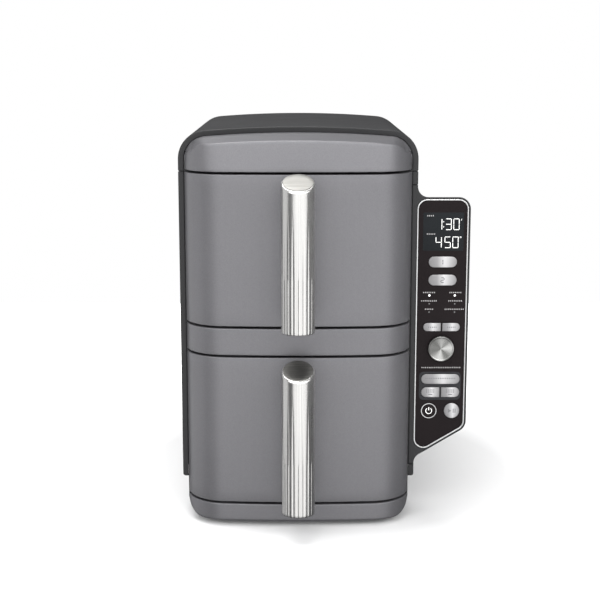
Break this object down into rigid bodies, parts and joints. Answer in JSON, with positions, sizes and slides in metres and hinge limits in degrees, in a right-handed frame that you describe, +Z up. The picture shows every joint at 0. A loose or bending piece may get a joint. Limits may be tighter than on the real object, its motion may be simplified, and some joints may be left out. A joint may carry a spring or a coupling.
{
  "type": "air fryer",
  "caption": "Tall countertop air fryer with stacked pull-out baskets behind bowed grey fronts, upright fluted bar handles and a side pod with display, buttons and a dial.",
  "frame": {"origin": "on the floor under the middle of the whole object's footprint, handles and side pod included", "axes": "+Z up; the front, with the handles, faces -Y; +X to the right seen from the front, towards the control pod"},
  "size_m": [0.2786, 0.4704, 0.3843],
  "materials": {
    "dark_housing": "fine matt texture, dark charcoal",
    "black_plastic": "matt black moulding",
    "grey_paint": "satin metallic grey paint",
    "foot_rubber": "matt black rubber",
    "liner_steel": "thin bare sheet",
    "heater_steel": "dull heat-darkened rod",
    "bare_steel": "plain machined or pressed steel",
    "circuit_board": "green solder mask with dark parts",
    "silver_trim": "satin silver line round the panel",
    "panel_black": "gloss black",
    "display_black": "smoked window over white digits",
    "silver_button": "satin silver, lighter at the right",
    "dial_metal": "spun face with radial sheen",
    "handle_chrome": "fluted, brushed lengthways, bright",
    "cap_metal": "brushed flat slanting cap",
    "nonstick_coating": "satin black non-stick ceramic coating"
  },
  "bodies": {
    "housing": {"top_cover": "dark_housing", "left_side_panel": "dark_housing", "right_side_panel": "dark_housing", "rear_cover": "dark_housing", "base_pan": "black_plastic", "front_left_foot": "foot_rubber", "front_right_foot": "foot_rubber", "rear_left_foot": "foot_rubber", "rear_right_foot": "foot_rubber", "cord_gland": "foot_rubber", "top_fascia": "grey_paint", "middle_band": "grey_paint", "base_band": "grey_paint", "front_bezel": "black_plastic", "upper_cavity_liner": "liner_steel", "lower_cavity_liner": "liner_steel", "upper_fan_guard": "liner_steel", "lower_fan_guard": "liner_steel", "upper_fan_housing": "liner_steel", "lower_fan_housing": "liner_steel", "upper_heating_element": "heater_steel", "lower_heating_element": "heater_steel", "upper_fan_motor": "bare_steel", "lower_fan_motor": "bare_steel", "power_board": "circuit_board", "pod_shell": "dark_housing", "panel_trim": "silver_trim", "panel_glass": "panel_black", "display_module": "display_black", "control_board": "circuit_board"},
    "upper_drawer": {"upper_drawer_front": "grey_paint", "upper_drawer_inner_cover": "black_plastic", "upper_basket": "nonstick_coating", "upper_handle_bar": "handle_chrome", "upper_handle_bracket": "black_plastic", "upper_handle_cap": "cap_metal"},
    "lower_drawer": {"lower_drawer_front": "grey_paint", "lower_drawer_inner_cover": "black_plastic", "lower_basket": "nonstick_coating", "lower_handle_bar": "handle_chrome", "lower_handle_bracket": "black_plastic", "lower_handle_cap": "cap_metal"},
    "upper_crisper": {"upper_crisper_plate": "nonstick_coating"},
    "lower_crisper": {"lower_crisper_plate": "nonstick_coating"},
    "upper_fan_rotor": {"upper_fan_shaft": "bare_steel", "upper_convection_fan": "bare_steel", "upper_cooling_fan": "black_plastic"},
    "lower_fan_rotor": {"lower_fan_shaft": "bare_steel", "lower_convection_fan": "bare_steel", "lower_cooling_fan": "black_plastic"},
    "dial": {"dial_knob": "dial_metal"},
    "drawer_one_key": {"drawer_one_button": "silver_button"},
    "drawer_two_key": {"drawer_two_button": "silver_button"},
    "temperature_key": {"temperature_button": "silver_button"},
    "time_key": {"time_button": "silver_button"},
    "two_level_key": {"two_level_button": "silver_button"},
    "finish_together_key": {"finish_together_button": "silver_button"},
    "match_drawers_key": {"match_drawers_button": "silver_button"},
    "power_key": {"power_button": "panel_black"},
    "start_key": {"start_button": "silver_button"}
  },
  "joints": [
    {"name": "upper_drawer_slide", "type": "slide", "parent": "housing", "child": "upper_drawer", "axis": [0, -1, 0], "range_m": [0, 0.3]},
    {"name": "lower_drawer_slide", "type": "slide", "parent": "housing", "child": "lower_drawer", "axis": [0, -1, 0], "range_m": [0, 0.3]},
    {"name": "upper_crisper_lift", "type": "slide", "parent": "upper_drawer", "child": "upper_crisper", "axis": [0, 0, 1], "range_m": [0, 0.1]},
    {"name": "lower_crisper_lift", "type": "slide", "parent": "lower_drawer", "child": "lower_crisper", "axis": [0, 0, 1], "range_m": [0, 0.1]},
    {"name": "upper_fan_spin", "type": "hinge", "parent": "housing", "child": "upper_fan_rotor", "pos_m": [-0.02535, 0.18525, 0.27027], "axis": [0, 1, 0], "continuous": true},
    {"name": "lower_fan_spin", "type": "hinge", "parent": "housing", "child": "lower_fan_rotor", "pos_m": [-0.02535, 0.18525, 0.09673], "axis": [0, 1, 0], "continuous": true},
    {"name": "dial_turn", "type": "hinge", "parent": "housing", "child": "dial", "pos_m": [0.113, -0.15375, 0.1705], "axis": [0, -1, 0], "continuous": true},
    {"name": "drawer_one_press", "type": "slide", "parent": "housing", "child": "drawer_one_key", "axis": [0, 1, 0], "range_m": [0, 0.001], "stiffness_N_per_m": 500, "springref_m": -0.002},
    {"name": "drawer_two_press", "type": "slide", "parent": "housing", "child": "drawer_two_key", "axis": [0, 1, 0], "range_m": [0, 0.001], "stiffness_N_per_m": 500, "springref_m": -0.002},
    {"name": "temperature_press", "type": "slide", "parent": "housing", "child": "temperature_key", "axis": [0, 1, 0], "range_m": [0, 0.001], "stiffness_N_per_m": 500, "springref_m": -0.002},
    {"name": "time_press", "type": "slide", "parent": "housing", "child": "time_key", "axis": [0, 1, 0], "range_m": [0, 0.001], "stiffness_N_per_m": 500, "springref_m": -0.002},
    {"name": "two_level_press", "type": "slide", "parent": "housing", "child": "two_level_key", "axis": [0, 1, 0], "range_m": [0, 0.001], "stiffness_N_per_m": 500, "springref_m": -0.002},
    {"name": "finish_together_press", "type": "slide", "parent": "housing", "child": "finish_together_key", "axis": [0, 1, 0], "range_m": [0, 0.001], "stiffness_N_per_m": 500, "springref_m": -0.002},
    {"name": "match_drawers_press", "type": "slide", "parent": "housing", "child": "match_drawers_key", "axis": [0, 1, 0], "range_m": [0, 0.001], "stiffness_N_per_m": 500, "springref_m": -0.002},
    {"name": "power_press", "type": "slide", "parent": "housing", "child": "power_key", "axis": [0, 1, 0], "range_m": [0, 0.001], "stiffness_N_per_m": 500, "springref_m": -0.002},
    {"name": "start_press", "type": "slide", "parent": "housing", "child": "start_key", "axis": [0, 1, 0], "range_m": [0, 0.001], "stiffness_N_per_m": 500, "springref_m": -0.002}
  ]
}
